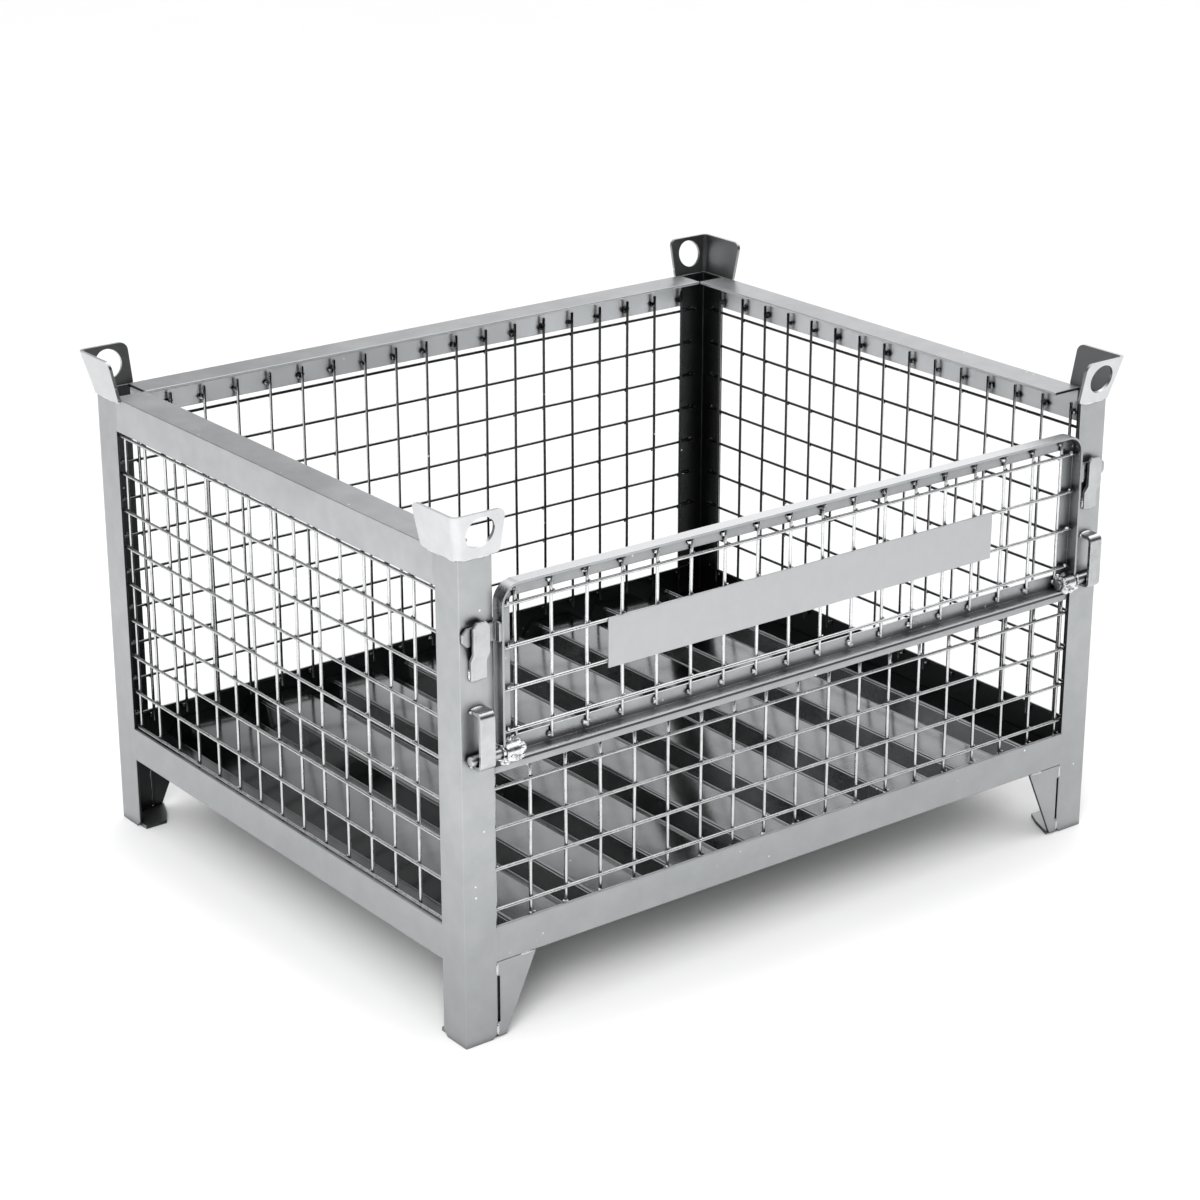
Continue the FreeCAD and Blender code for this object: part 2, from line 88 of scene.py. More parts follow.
def noise(tree, vector, scale, detail=4.0, rough=0.55, distort=0.0):
    node = tree.nodes.new("ShaderNodeTexNoise")
    node.inputs["Scale"].default_value = scale
    node.inputs["Detail"].default_value = detail
    node.inputs["Roughness"].default_value = rough
    node.inputs["Distortion"].default_value = distort
    tree.links.new(vector, node.inputs["Vector"])
    return node.outputs["Fac"]


def remap(tree, value, low, high, to_low, to_high):
    node = tree.nodes.new("ShaderNodeMapRange")
    node.inputs["From Min"].default_value = low
    node.inputs["From Max"].default_value = high
    node.inputs["To Min"].default_value = to_low
    node.inputs["To Max"].default_value = to_high
    tree.links.new(value, node.inputs["Value"])
    return node.outputs["Result"]


def blend_colour(tree, factor, first, second):
    node = tree.nodes.new("ShaderNodeMix")
    node.data_type = "RGBA"
    for socket, colour in ((node.inputs["A"], first), (node.inputs["B"], second)):
        if isinstance(colour, tuple):
            socket.default_value = (*colour, 1.0)
        else:
            tree.links.new(colour, socket)
    tree.links.new(factor, node.inputs["Factor"])
    return node.outputs["Result"]


def combine(tree, operation, first, second):
    node = tree.nodes.new("ShaderNodeMath")
    node.operation = operation
    for socket, value in zip(node.inputs, (first, second)):
        if isinstance(value, (int, float)):
            socket.default_value = value
        else:
            tree.links.new(value, socket)
    return node.outputs["Value"]


def dot_product(tree, first, second):
    node = tree.nodes.new("ShaderNodeVectorMath")
    node.operation = "DOT_PRODUCT"
    for socket, value in zip(node.inputs, (first, second)):
        if isinstance(value, tuple):
            socket.default_value = value
        else:
            tree.links.new(value, socket)
    return node.outputs["Value"]


def bump(tree, shader, height, strength, distance):
    node = tree.nodes.new("ShaderNodeBump")
    node.inputs["Strength"].default_value = strength
    node.inputs["Distance"].default_value = distance
    tree.links.new(height, node.inputs["Height"])
    tree.links.new(node.outputs["Normal"], shader.inputs["Normal"])


# ---------------------------------------------------------------- zinc and weld metal

DROPS_PER_METRE = 85.0
DROP_COLOUR = (0.88, 0.89, 0.90)
# painted shadow colour for the slot under the flap
SLOT_SHADOW_COLOUR = (0.05, 0.05, 0.05)
# how dark the painted shade in corners and gaps gets
CORNER_SHADE_SHARE = 0.18
# painted shade near the ground: how dark it gets, and the heights over which it fades out
GROUND_SHADE_SHARE = 0.6
GROUND_SHADE_FADE = (0.12, 0.30)
RELIEF = 0.4 * MM


def drips(tree, where):
    """Small sparse drops of zinc: 1 on a drop, 0 elsewhere."""
    cells = tree.nodes.new("ShaderNodeTexVoronoi")
    cells.inputs["Scale"].default_value = DROPS_PER_METRE
    tree.links.new(where, cells.inputs["Vector"])
    drop = remap(tree, cells.outputs["Distance"], 0.07, 0.15, 1.0, 0.0)
    split = tree.nodes.new("ShaderNodeSeparateColor")
    tree.links.new(cells.outputs["Color"], split.inputs["Color"])
    chosen = remap(tree, split.outputs["Red"], 0.80, 0.84, 0.0, 1.0)
    clustered = remap(tree, noise(tree, where, 11.0, 2.0), 0.50, 0.58, 0.0, 1.0)
    return combine(tree, "MULTIPLY", drop, combine(tree, "MULTIPLY", chosen, clustered))


def painted_corner_shade(tree, reach):
    """Painted shade from the ambient occlusion node: close to 1 deep in a corner or gap, 0 in the open."""
    node = tree.nodes.new("ShaderNodeAmbientOcclusion")
    node.samples = 6
    node.inputs["Distance"].default_value = reach
    return remap(tree, node.outputs["AO"], 0.30, 0.85, 0.95, 0.0)


def upward_mask(tree):
    """1 on faces that look up, 0 on the rest."""
    split = tree.nodes.new("ShaderNodeSeparateXYZ")
    tree.links.new(tree.nodes.new("ShaderNodeTexCoord").outputs["Normal"], split.inputs["Vector"])
    return remap(tree, split.outputs["Z"], 0.75, 0.95, 0.0, 1.0)


def inward_mask(tree):
    """1 on faces that look at the container's own middle, 0 on faces that look out."""
    coordinates = tree.nodes.new("ShaderNodeTexCoord")
    level = []
    for output in ("Normal", "Object"):
        node = tree.nodes.new("ShaderNodeVectorMath")
        node.operation = "MULTIPLY"
        node.inputs[1].default_value = (1.0, 1.0, 0.0)
        tree.links.new(coordinates.outputs[output], node.inputs[0])
        level.append(node.outputs["Vector"])
    return remap(tree, dot_product(tree, *level), -0.05, -0.30, 0.0, 1.0)


def share(part, colour):
    return tuple(part * c for c in colour)


def zinc(name, dark, light, rough, cloud=9.0, grain=420.0, depth=0.25, inner=None, low=0.20,
         upper=None, reach=14 * MM, slot_y=None, metallic=1.0):
    """Zinc-coated steel: soft clouds in colour and gloss, a fine grain, and small drops.

    cloud and grain are the sizes of that pattern, in repeats per metre, and depth its relief.
    inner is the share of the colour left on faces that look into the container, as painted shade
    (painted light where the share is above 1), low how much painted shade darkens the steel near
    the ground, upper the colour of faces that look up, as a painted highlight, reach how far away
    a neighbour still casts painted shade into a corner, and slot_y the depth up to which a face that
    looks up gets a painted shadow in the slot under the flap."""
    material, tree, shader = new_material(name)
    where = position(tree)
    clouds = noise(tree, where, cloud, 5.0, 0.6, 0.4)
    patches = noise(tree, where, cloud * 4.3, 3.0, 0.5)
    fine = noise(tree, where, grain, 3.0, 0.6)
    mix = combine(tree, "ADD", clouds, combine(tree, "MULTIPLY", patches, 0.45))
    base = blend_colour(tree, remap(tree, mix, 0.50, 0.95, 0.0, 1.0), dark, light)
    place = tree.nodes.new("ShaderNodeSeparateXYZ")
    tree.links.new(where, place.inputs["Vector"])
    # painted shade: darker towards the ground
    ground_shade = remap(tree, place.outputs["Z"], *GROUND_SHADE_FADE, low, 0.0)
    base = blend_colour(tree, ground_shade, base, share(GROUND_SHADE_SHARE, dark))
    # painted shade on faces that look into the container; painted light where inner is above 1
    if inner is not None:
        base = blend_colour(tree, inward_mask(tree), base, share(inner, dark))
    # painted shade in corners and gaps
    base = blend_colour(tree, painted_corner_shade(tree, reach), base, share(CORNER_SHADE_SHARE, dark))
    # painted highlight on faces that look up
    if upper is not None:
        base = blend_colour(tree, upward_mask(tree), base, upper)
    # painted shadow of the flap on faces that look up in the slot under it
    if slot_y is not None:
        shadowed = remap(tree, place.outputs["Y"], slot_y, slot_y + 3 * MM, 1.0, 0.0)
        shadowed = combine(tree, "MULTIPLY", shadowed, upward_mask(tree))
        base = blend_colour(tree, shadowed, base, SLOT_SHADOW_COLOUR)
    drop = drips(tree, where)
    base = blend_colour(tree, drop, base, DROP_COLOUR)
    tree.links.new(base, shader.inputs["Base Color"])
    shader.inputs["Metallic"].default_value = metallic
    gloss = combine(tree, "ADD", remap(tree, clouds, 0.3, 0.7, *rough),
                    remap(tree, fine, 0.3, 0.7, -0.03, 0.03))
    tree.links.new(gloss, shader.inputs["Roughness"])
    relief = combine(tree, "ADD", combine(tree, "ADD", fine, patches), drop)
    bump(tree, shader, relief, depth, RELIEF)
    return material


# inner paints shade onto faces that look into the container, and low paints shade near the ground
POST = zinc("zinc_post", (0.385, 0.397, 0.407), (0.495, 0.507, 0.515), (0.32, 0.46),
            inner=0.13, low=0.36)
# a darker copy of the post zinc, as painted shade under the flap; the wide reach widens its painted corner
# shade, and slot_y paints the flap's shadow on its top
MID_RAIL = zinc("zinc_mid_rail", (0.36, 0.372, 0.382), (0.47, 0.482, 0.490), (0.32, 0.46),
                inner=0.4, reach=40 * MM, slot_y=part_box("mid_rail")[0].y + 12 * MM)
# inner above 1 paints light onto the top rails' faces that look into the container
TOP_RAIL = zinc("zinc_top_rail", (0.41, 0.422, 0.432), (0.52, 0.532, 0.540), (0.30, 0.42),
                inner=1.45)
# inner paints shade onto faces that look into the container
BRACKET = zinc("zinc_bracket", (0.565, 0.575, 0.583), (0.665, 0.673, 0.679), (0.28, 0.40),
               cloud=14.0, depth=0.2, inner=0.55)
# inner paints near-black shade onto wire sides that look into the container
WIRE = zinc("zinc_wire", (0.52, 0.53, 0.54), (0.71, 0.715, 0.72), (0.22, 0.32),
            cloud=30.0, grain=700.0, depth=0.2, inner=0.10)
# a lighter copy of the wire zinc, without inward shade: painted light on the flap's wires
FLAP_WIRE = zinc("zinc_flap_wire", (0.58, 0.59, 0.60), (0.78, 0.785, 0.79), (0.22, 0.32),
                 cloud=30.0, grain=700.0, depth=0.2)
# its dark tone is partly painted shade, as the floor lies in shade, and partly the zinc's own tone
SHEET = zinc("zinc_floor", (0.25, 0.257, 0.263), (0.36, 0.367, 0.372), (0.10, 0.17),
             cloud=6.0, grain=260.0, depth=0.05)
SIGN = zinc("zinc_plate", (0.50, 0.512, 0.520), (0.55, 0.560, 0.566), (0.40, 0.48),
            cloud=12.0, grain=500.0, depth=0.08)
# upper is a painted highlight on the frame's tops, and the wide reach paints shade on the flange under the
# top wall
FLAP_STEEL = zinc("zinc_flap", (0.34, 0.352, 0.362), (0.46, 0.472, 0.480), (0.26, 0.38),
                  upper=(0.80, 0.81, 0.82), reach=32 * MM)
# upper is a painted highlight on the hooks' tops
HOOK = zinc("zinc_hook", (0.40, 0.412, 0.422), (0.56, 0.572, 0.580), (0.24, 0.36),
            cloud=16.0, depth=0.3, upper=(0.78, 0.79, 0.80))
# bright, nearly non-metallic zinc: a painted highlight along each rib's bead
BEAD_HIGHLIGHT = zinc("zinc_bead_highlight", (0.84, 0.85, 0.86), (0.93, 0.935, 0.94), (0.40, 0.50),
            cloud=40.0, grain=600.0, depth=0.1, reach=0.5 * MM, metallic=0.1)
# brighter, glossier zinc: a painted highlight along rounded edges; inner paints shade onto inward ones
EDGE_HIGHLIGHT = zinc("zinc_edge_highlight", (0.70, 0.71, 0.72), (0.86, 0.865, 0.87), (0.18, 0.30),
            cloud=40.0, grain=600.0, depth=0.15, inner=0.6)
WELD = zinc("weld_metal", (0.56, 0.57, 0.58), (0.84, 0.85, 0.86), (0.18, 0.36),
            cloud=60.0, grain=900.0, depth=0.35, reach=3 * MM)

# the first start that fits a node's name decides; whatever is left is POST
MATERIAL_BY_START = (
    ("flap_mesh", FLAP_WIRE), ("mesh", WIRE), ("flap_pin", HOOK), ("flap", FLAP_STEEL),
    ("pin_saddle", FLAP_STEEL), ("hook", HOOK), ("pin_guide", HOOK), ("mid_rail", MID_RAIL),
    ("top_rail", TOP_RAIL), ("corner_bracket", BRACKET), ("floor_sheet", SHEET), ("sign_plate", SIGN),
)


def material_of(node):
    for start, material in MATERIAL_BY_START:
        if node.startswith(start):
            return material
    return POST


def paint(obj, material):
    obj.data.materials.clear()
    obj.data.materials.append(material)


for name, obj in NODES.items():
    paint(obj, material_of(name))


# ---------------------------------------------------------------- mesh helpers

def new_piece(name, bm, material, body, replaced=()):
    """Turns a bmesh into a smooth-shaded piece that rides on a body."""
    mesh = bpy.data.meshes.new(name)
    bmesh.ops.recalc_face_normals(bm, faces=bm.faces)
    bm.to_mesh(mesh)
    bm.free()
    mesh.shade_smooth()
    mesh.set_sharp_from_angle(angle=math.radians(50))
    piece = bpy.data.objects.new(name, mesh)
    bpy.context.scene.collection.objects.link(piece)
    paint(piece, material)
    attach(piece, body)
    if replaced:
        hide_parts(*replaced)
    return piece


def soften(node, radius):
    """A copy of a CAD node with its sharp edges rounded and given a painted highlight."""
    source = NODES[node]
    bm = bmesh.new()
    bm.from_mesh(source.data)
    bmesh.ops.remove_doubles(bm, verts=bm.verts, dist=1e-6)
    bmesh.ops.dissolve_limit(
        bm, angle_limit=math.radians(1.5), verts=bm.verts, edges=bm.edges, delimit=set()
    )
    sharp = [e for e in bm.edges if len(e.link_faces) == 2 and e.calc_face_angle() > math.radians(35)]
    rounded = bmesh.ops.bevel(
        bm, geom=sharp, offset=radius, offset_type="OFFSET", segments=2, profile=0.5,
        affect="EDGES", clamp_overlap=True,
    )
    # the rounded faces take the painted highlight material
    for face in rounded["faces"]:
        face.material_index = 1
    piece = new_piece(
        node + "_finished", bm, material_of(node), source["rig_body"], [node]
    )
    piece.data.materials.append(EDGE_HIGHLIGHT)
    weighted = piece.modifiers.new("weighted", "WEIGHTED_NORMAL")
    weighted.keep_sharp = True


def add_ring(bm, centre, across, up, radius, sides):
    ring = []
    for k in range(sides):
        angle = 2 * math.pi * k / sides
        ring.append(bm.verts.new(
            centre + radius * (math.cos(angle) * across + math.sin(angle) * up)
        ))
    return ring


def join_rings(bm, first, second):
    count = len(first)
    for k in range(count):
        bm.faces.new((first[k], first[(k + 1) % count], second[(k + 1) % count], second[k]))


def add_tube(bm, points, radii):
    """Closed tube through the points; the ends are capped."""
    sides = 12
    direction = (points[-1] - points[0]).normalized()
    helper = Vector((0, 0, 1)) if abs(direction.z) < 0.9 else Vector((1, 0, 0))
    across = direction.cross(helper).normalized()
    up = across.cross(direction).normalized()
    rings = [add_ring(bm, p, across, up, r, sides) for p, r in zip(points, radii)]
    for first, second in zip(rings, rings[1:]):
        join_rings(bm, first, second)
    bm.faces.new(list(reversed(rings[0])))
    bm.faces.new(rings[-1])


def add_wire(bm, start, end, radius, sway, wave):
    """A drawn wire with cut ends, a hair off straight as a welded one is."""
    length = (end - start).length
    steps = max(2, round(length / (25 * MM)))
    phase = rng.uniform(0, 6.28)
    points = []
    for k in range(steps + 1):
        t = k / steps
        drift = wave * math.sin(phase + 5.0 * t) * math.sin(math.pi * t)
        points.append(start.lerp(end, t) + drift * sway)
    step = (end - start).normalized() * radius * 0.35
    points.insert(1, points[0] + step)
    points.insert(-1, points[-1] - step)
    cut_end = radius * 0.72
    add_tube(bm, points, [cut_end] + [radius] * (len(points) - 2) + [cut_end])


def add_blob(bm, centre, size, lumps=0.22, detail=2, slot=0):
    """A small lump of weld metal, in the piece's material of that slot."""
    made = bmesh.ops.create_icosphere(bm, subdivisions=detail, radius=1.0)["verts"]
    seed = rng.uniform(0, 50)
    scale = Vector(size) if not isinstance(size, (int, float)) else Vector((size,) * 3)
    for vert in made:
        p = vert.co.copy()
        wobble = math.sin(3.1 * p.x + seed) * math.sin(2.7 * p.y + 1.7 * seed) + 0.6 * math.sin(
            4.3 * p.z + 2.1 * seed
        )
        p *= 1 + lumps * wobble
        vert.co = centre + Vector((p.x * scale.x, p.y * scale.y, p.z * scale.z))
        for face in vert.link_faces:
            face.material_index = slot


def add_bead(bm, start, end, width, normal, proud=1.0):
    """A run of weld: a low rounded ridge with the scallops of the pool."""
    scallop_run, sunk, arc = 2.4 * MM, 0.25 * MM, 8
    run = end - start
    length = run.length
    along = run.normalized()
    side = along.cross(normal).normalized()
    steps = max(4, int(length / (0.6 * MM)))
    phase = rng.uniform(0, 6.28)
    rings = []
    for k in range(steps + 1):
        at = k / steps * length
        scallop = abs(math.sin(math.pi * at / scallop_run + phase))
        swell = 1 + 0.16 * math.sin(at / (7 * MM) + 2 * phase) + 0.10 * math.sin(at / (2.9 * MM) + phase)
        taper = min(1.0, math.sqrt(max(0.0, min(at, length - at)) / width + 0.02))
        half = 0.5 * width * swell * taper
        rise = 0.5 * width * taper * (0.55 + 0.22 * scallop) * swell * proud
        lag = 0.105 * width
        centre = start + along * at - normal * sunk
        ring = []
        for i in range(arc + 1):
            a = math.pi * i / arc
            ring.append(bm.verts.new(
                centre + side * half * math.cos(a) + (normal * rise - along * lag) * math.sin(a)
            ))
        rings.append(ring)
    for first, second in zip(rings, rings[1:]):
        join_rings(bm, first, second)
    bm.faces.new(rings[0])
    bm.faces.new(list(reversed(rings[-1])))


# ---------------------------------------------------------------- wire panels

WIRE_RADIUS = 2.0 * MM
WIRE_PITCH = 50 * MM
WIRE_BITE = 0.4 * MM
WIRE_WAVE = 0.5 * MM
UP = Vector((0, 0, 1))


def make_panel(node, body, inward, columns, rows, level_z, tacks):
    """A panel with level wires outside, upright wires inside and a nugget on each crossing.

    inward is the sign of the way into the container, and level_z the lowest level wire.
    tacks lists (height, depth behind the outer face, size) of the lumps beside each upright."""
    low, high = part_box(node)
    along_x = high.x - low.x > high.y - low.y
    run = Vector((1, 0, 0)) if along_x else Vector((0, 1, 0))
    deep = Vector((0, 1, 0)) if along_x else Vector((1, 0, 0))
    outer = (low if inward > 0 else high).dot(deep)
    level_at = outer + inward * WIRE_RADIUS
    upright_at = level_at + inward * (2 * WIRE_RADIUS - WIRE_BITE)
    weld_at = (level_at + upright_at) / 2
    centre = ((low + high) / 2).dot(run)
    half = (high - low).dot(run) / 2
    levels = [level_z + WIRE_PITCH * k for k in range(rows)]
    uprights = [centre + WIRE_PITCH * (k - (columns - 1) / 2) for k in range(columns)]
    bm = bmesh.new()

    def spot(along, depth, z):
        return run * along + deep * depth + UP * z

    def weld_lump(along, depth, z, size, lumps=0.3, detail=2):
        add_blob(bm, spot(along, depth, z), size, lumps, detail, slot=1)

    for z in levels:
        add_wire(bm, spot(centre - half, level_at, z), spot(centre + half, level_at, z),
                 WIRE_RADIUS, UP, WIRE_WAVE)
    for x in uprights:
        add_wire(bm, spot(x, upright_at, low.z), spot(x, upright_at, high.z),
                 WIRE_RADIUS, run, WIRE_WAVE)
    for z in levels:
        for x in uprights:
            size = rng.uniform(1.3, 2.0) * MM
            aside, above = rng.uniform(1.2, 2.4) * MM, rng.uniform(1.4, 2.6) * MM
            weld_lump(x + aside, weld_at, z + above, size, lumps=0.22, detail=1)
            if rng.random() < 0.5:
                weld_lump(x - aside, weld_at, z - above, size * 0.8, lumps=0.22, detail=1)
    for z, depth, size in tacks:
        for x in uprights:
            aside = WIRE_RADIUS + rng.uniform(0.4, 1.4) * MM
            tack_z = z + rng.uniform(-1, 1) * MM
            weld_lump(x - aside, outer + inward * depth, tack_z, size * rng.uniform(0.85, 1.15))
            if rng.random() < 0.45:
                weld_lump(x + aside, outer + inward * depth, z + 2 * MM, size * 0.6)
    for z in levels:
        for x in (centre - half + 8 * MM, centre + half - 8 * MM):
            weld_lump(x, outer + inward * 1.2 * MM, z + 2.2 * MM, 2.6 * MM)
    panel = new_piece(node + "_wires", bm, material_of(node), body, [node])
    panel.data.materials.append(WELD)


LOW_TACK = (140 * MM, 3.0 * MM, 2.9 * MM)
HIGH_TACK = (563 * MM, 3.0 * MM, 3.4 * MM)
MID_RAIL_TACK = (328.6 * MM, 5.6 * MM, 2.0 * MM)
FLAP_TACKS = ((362 * MM, 6.4 * MM, 3.0 * MM), (545 * MM, 6.4 * MM, 3.0 * MM))
PANELS = (
    # node, body, inward, columns, rows, lowest level wire, tacks
    ("mesh_front", ROOT, 1, 19, 4, 161 * MM, (LOW_TACK, MID_RAIL_TACK)),
    ("mesh_back", ROOT, -1, 19, 9, 145 * MM, (LOW_TACK, HIGH_TACK)),
    ("mesh_left", ROOT, 1, 15, 9, 145 * MM, (LOW_TACK, HIGH_TACK)),
    ("mesh_right", ROOT, -1, 15, 9, 145 * MM, (LOW_TACK, HIGH_TACK)),
    ("flap_mesh", FLAP, 1, 18, 4, 380 * MM, FLAP_TACKS),
)
for panel in PANELS:
    make_panel(*panel)


# ---------------------------------------------------------------- sections and plates

EDGE_RADII = (
    (("post", "base_rail", "top_rail"), 1.1 * MM),
    (("corner_bracket", "hook", "pin_guide", "flap_tab"), 0.9 * MM),
)
PLAIN_EDGE_RADIUS = 0.5 * MM


def edge_radius(node):
    for starts, radius in EDGE_RADII:
        if node.startswith(starts):
            return radius
    return PLAIN_EDGE_RADIUS


def modelled_afresh(node):
    """True for nodes that other sections of this script model from nothing."""
    return "mesh" in node or node.startswith(("floor_sheet", "pin_saddle"))


for node in NODES:
    if not modelled_afresh(node):
        soften(node, edge_radius(node))


# ---------------------------------------------------------------- ribbed floor sheet

SKIN = 1.5 * MM
RIB_PITCH, RIB_SLOPE, FIRST_FOOT = 118 * MM, 15 * MM, 66 * MM
# the last rib is a narrow one
RIB_TOPS = [70 * MM] * 7 + [9 * MM]
# the bead stands just inside the left edge of each rib's top, with a groove behind it
BEAD_RADIUS, BEAD_INSET, GROOVE = 2.2 * MM, 3.8 * MM, 0.3 * MM


def rib_feet():
    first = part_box("floor_sheet")[0].x + FIRST_FOOT
    return [first + RIB_PITCH * k for k in range(len(RIB_TOPS))]


def bead_places():
    return [x + RIB_SLOPE + BEAD_INSET for x in rib_feet()]


def rib_outline():
    """The sheet's upper surface from left to right, with rolled bends."""
    low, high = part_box("floor_sheet")
    top, bottom = high.z, low.z + SKIN
    bend, bend_steps = 2.2 * MM, 4
    # both ends lie low, on the flanges of the side rails
    corner_at = [(low.x, bottom)]
    for x, width in zip(rib_feet(), RIB_TOPS):
        corner_at += [(x, bottom), (x + RIB_SLOPE, top), (x + RIB_SLOPE + width, top),
                      (x + 2 * RIB_SLOPE + width, bottom)]
    corner_at.append((high.x, bottom))
    line = [Vector((x, 0, z)) for x, z in corner_at]
    outline = [line[0]]
    for before, at, after in zip(line, line[1:], line[2:]):
        a, b = (before - at).normalized(), (after - at).normalized()
        cut = bend / math.tan(0.5 * a.angle(b))
        for k in range(bend_steps + 1):
            t = k / bend_steps
            p, q = at + a * cut, at + b * cut
            outline.append(p * (1 - t) ** 2 + at * 2 * t * (1 - t) + q * t ** 2)
    outline.append(line[-1])
    return outline


def with_beads(outline):
    """The outline with a narrow round bead on each rib."""
    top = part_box("floor_sheet")[1].z
    lead, tail, arc = 0.2 * MM, 1.5 * MM, 8
    profile = [(-BEAD_RADIUS - lead, 0)]
    for k in range(arc + 1):
        turn = math.pi * k / arc
        profile.append((-BEAD_RADIUS * math.cos(turn), 0.8 * BEAD_RADIUS * math.sin(turn)))
    profile += [(BEAD_RADIUS + 0.3 * MM, -GROOVE), (BEAD_RADIUS + 0.8 * MM, -GROOVE),
                (BEAD_RADIUS + 1.2 * MM, 0), (BEAD_RADIUS + tail, 0)]
    beaded = []
    for p, q in zip(outline, outline[1:]):
        beaded.append(p)
        for x in bead_places():
            if p.x < x - BEAD_RADIUS - lead and q.x > x + BEAD_RADIUS + tail:
                beaded += [Vector((x + shift, 0, top + lift)) for shift, lift in profile]
    beaded.append(outline[-1])
    return beaded


def unevenness(x, y):
    """Two crossing slow waves in the sheet, from -1 to 1."""
    return math.sin(9.0 * x + 6.5 * y + 1.3) * math.sin(23.0 * y - 14.0 * x)


def make_floor_sheet():
    """Trapezoidal sheet with rolled bends, a bead along each rib and a hint of waviness."""
    low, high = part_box("floor_sheet")
    outline = with_beads(rib_outline())
    bead_at = bead_places()
    rows, ripple = 34, 0.22 * MM
    bm = bmesh.new()
    upper, under = [], []
    for j in range(rows + 1):
        y = low.y + (high.y - low.y) * j / rows
        calm = min(1.0, min(j, rows - j) / rows * 8)
        row = []
        for p in outline:
            sag = abs(ripple * calm * unevenness(p.x, y))
            row.append(bm.verts.new((p.x, y, p.z - sag)))
        upper.append(row)
    for row in upper:
        below = []
        for i, vert in enumerate(row):
            ahead = row[min(i + 1, len(row) - 1)].co - row[max(i - 1, 0)].co
            normal = Vector((-ahead.z, 0, ahead.x)).normalized()
            below.append(bm.verts.new(vert.co - normal * SKIN))
        under.append(below)

    def on_bead(p, q):
        middle = (p + q) / 2
        return middle.z > high.z and any(abs(middle.x - x) < BEAD_RADIUS for x in bead_at)

    count = len(outline)
    for j in range(rows):
        for i in range(count - 1):
            face = bm.faces.new((upper[j][i], upper[j][i + 1], upper[j + 1][i + 1], upper[j + 1][i]))
            # faces on the bead take the painted highlight material
            face.material_index = int(on_bead(outline[i], outline[i + 1]))
            bm.faces.new((under[j][i], under[j + 1][i], under[j + 1][i + 1], under[j][i + 1]))
        for i in (0, count - 1):
            bm.faces.new((upper[j][i], upper[j + 1][i], under[j + 1][i], under[j][i]))
    for j in (0, rows):
        for i in range(count - 1):
            bm.faces.new((upper[j][i], upper[j][i + 1], under[j][i + 1], under[j][i]))
    sheet = new_piece("floor_sheet_rolled", bm, SHEET, ROOT, ["floor_sheet"])
    sheet.data.materials.append(BEAD_HIGHLIGHT)


make_floor_sheet()


# ---------------------------------------------------------------- welds

SIDES = (("left", -1), ("right", 1))
ENDS = (("front", -1), ("back", 1))


def beads_piece(name, body, runs, blobs=(), material=WELD):
    """One piece of weld from runs and blobs.

    A run is (start, end, width, normal), with the share of its full height as a last value
    where that isn't 1; a blob is (centre, size)."""
    bm = bmesh.new()
    for start, end, width, normal, *proud in runs:
        add_bead(bm, Vector(start), Vector(end), width, Vector(normal).normalized(), *proud)
    for centre, size in blobs:
        add_blob(bm, Vector(centre), size)
    new_piece(name, bm, material, body)


def corner_welds(name, sx, sy):
    """Beads under a stacking corner and along its foot gusset, and seams ground nearly flush
    between post and rails."""
    post_low, post_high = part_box("post_" + name)
    x, y = (post_low.x, post_high.x)[sx > 0], (post_low.y, post_high.y)[sy > 0]
    gusset_low, gusset_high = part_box("foot_gusset_" + name)
    inner, head = (gusset_high.x, gusset_low.x)[sx > 0], gusset_high.z
    under_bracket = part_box("corner_bracket_" + name)[0].z - 1.2 * MM
    post_leg = 45  # millimetres, as spot() takes them

    def spot(in_x, in_y, z):
        """A place in_x and in_y millimetres inward from the post's outer corner."""
        return (x - sx * in_x * MM, y - sy * in_y * MM, z)

    runs = [
        (spot(4, -0.6, under_bracket), spot(44, -0.6, under_bracket), 5 * MM, (0, sy, -0.35)),
        (spot(-0.6, 4, under_bracket), spot(-0.6, 60, under_bracket), 5 * MM, (sx, 0, -0.35)),
        ((inner + sx * 3 * MM, y, head - 0.5 * MM), (inner + sx * 22 * MM, y, head - 0.5 * MM),
         3.2 * MM, (0, sy, 0)),
        (spot(post_leg, 0, head - 1 * MM), spot(post_leg, 0, 81 * MM), 3.4 * MM, (0, sy, 0)),
        (spot(post_leg, 0, 20 * MM), spot(post_leg, 0, 5 * MM), 3.4 * MM, (0, sy, 0)),
    ]
    seam_width, flush = 8 * MM, 0.17
    seams = []
    for rail in ("base_rail", "top_rail"):
        low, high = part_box(rail + "_left")
        start, end = low.z + 1.5 * MM, high.z - 1.5 * MM
        seams.append((spot(0, post_leg, start), spot(0, post_leg, end), seam_width, (sx, 0, 0), flush))
        # there is no top rail at the front, above the flap
        if rail == "base_rail" or sy > 0:
            seams.append((spot(post_leg, 0, start), spot(post_leg, 0, end), seam_width, (0, sy, 0), flush))
    # the run on the inside closes the slit between post and gusset
    seams.append((spot(46, 4, 88 * MM), spot(46, 4, 5 * MM), seam_width, (0, -sy, 0), 0.3))
    beads_piece("weld_corner_" + name, ROOT, runs)
    beads_piece("ground_seams_" + name, ROOT, seams, material=POST)


